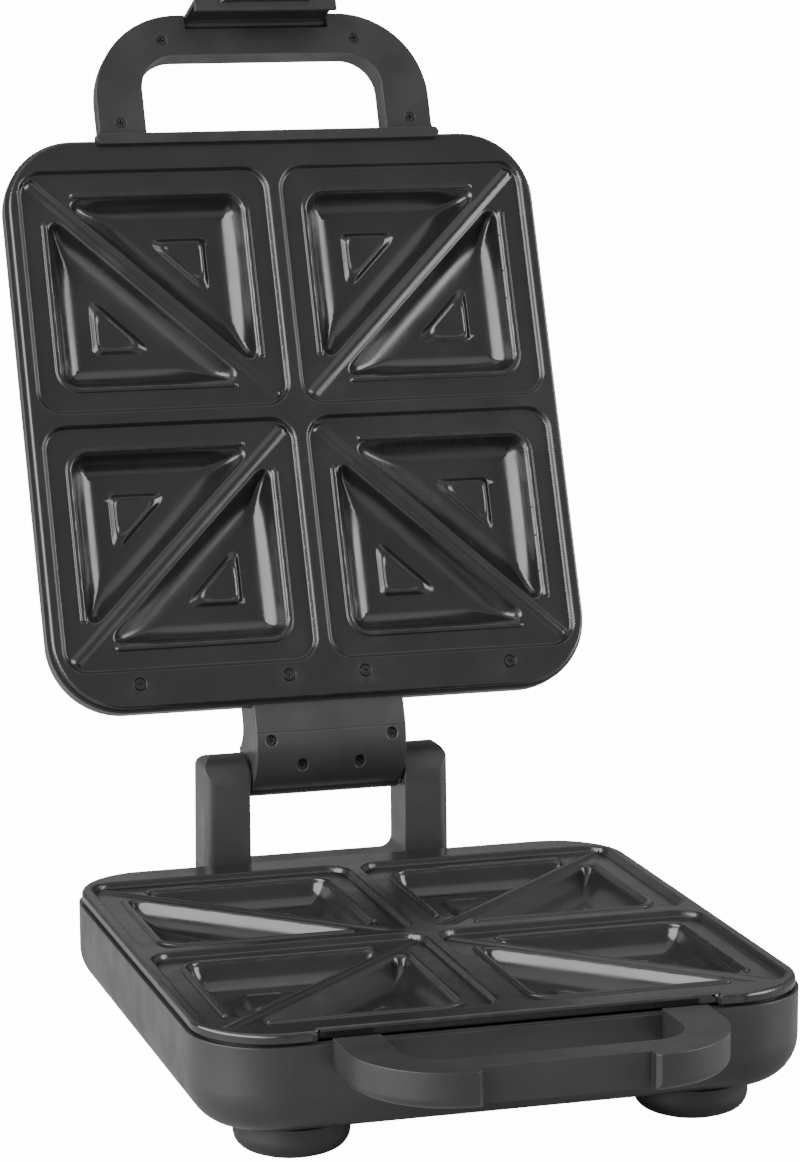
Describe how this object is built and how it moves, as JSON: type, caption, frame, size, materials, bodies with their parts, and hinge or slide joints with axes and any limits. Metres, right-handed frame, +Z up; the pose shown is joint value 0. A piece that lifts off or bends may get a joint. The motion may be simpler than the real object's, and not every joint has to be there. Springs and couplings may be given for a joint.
{
  "type": "sandwich toaster",
  "caption": "Countertop sandwich toaster with a hinged lid, triangular pockets in both cooking plates, looped grip handles and a swinging latch.",
  "frame": {"origin": "middle of the whole outline with the lid open, at the height of the surface it stands on", "axes": "+Z up, -Y towards the handles and the user, +Y towards the hinge, +X to the user's right"},
  "size_m": [0.2704, 0.5018, 0.47],
  "materials": {
    "charcoal_plastic": "fine satin grain",
    "coated_plate": "cast, with a smooth dark non-stick coating",
    "screw_steel": "plated",
    "heater_tube": "dull, heat tinted",
    "bright_sheet": "bright sheet",
    "ivory_plastic": "moulded",
    "wire_sleeve": "soft sleeve",
    "soft_pad": "matt",
    "red_lens": "clear tinted",
    "green_lens": "clear tinted",
    "bulb_glass": "clear"
  },
  "bodies": {
    "base": {"base_housing": "charcoal_plastic", "base_handle": "charcoal_plastic", "base_handle_cover": "charcoal_plastic", "base_handle_screws": "screw_steel", "base_root_screws": "screw_steel", "lower_plate": "coated_plate", "lower_plate_screws": "screw_steel", "lower_element": "heater_tube", "lower_reflector": "bright_sheet", "thermostat": "bright_sheet", "thermal_fuse": "bright_sheet", "terminal_block": "ivory_plastic", "base_wiring": "wire_sleeve", "cord_gland": "charcoal_plastic", "front_left_foot": "charcoal_plastic", "front_right_foot": "charcoal_plastic", "rear_left_foot": "charcoal_plastic", "rear_right_foot": "charcoal_plastic", "foot_pads": "soft_pad", "foot_screws": "screw_steel", "hinge_block": "charcoal_plastic", "hinge_rear_cover": "charcoal_plastic", "hinge_cover_screws": "screw_steel", "hinge_block_screws": "screw_steel", "left_hinge_pin": "screw_steel", "right_hinge_pin": "screw_steel"},
    "lid": {"lid_shell": "charcoal_plastic", "upper_plate": "coated_plate", "upper_plate_screws": "screw_steel", "upper_element": "heater_tube", "upper_reflector": "bright_sheet", "lid_handle": "charcoal_plastic", "lid_handle_cover": "charcoal_plastic", "lid_handle_screws": "screw_steel", "lid_root_screws": "screw_steel", "hinge_tongue": "charcoal_plastic", "hinge_tongue_cover": "charcoal_plastic", "tongue_screws": "screw_steel", "lid_hinge_screws": "screw_steel", "left_hinge_bush": "ivory_plastic", "right_hinge_bush": "ivory_plastic", "power_lamp": "red_lens", "ready_lamp": "green_lens", "lamp_bulbs": "bulb_glass", "lid_wiring": "wire_sleeve", "latch_pin": "screw_steel"},
    "latch": {"latch_clip": "charcoal_plastic"}
  },
  "joints": [
    {"name": "lid_hinge", "type": "hinge", "parent": "base", "child": "lid", "pos_m": [0, 0.12838, 0.0949], "axis": [1, 0, 0], "range_deg": [0, 112]},
    {"name": "latch_swing", "type": "hinge", "parent": "lid", "child": "latch", "pos_m": [0, 0.24287, 0.45407], "axis": [1, 0, 0], "range_deg": [-25, 6]}
  ]
}
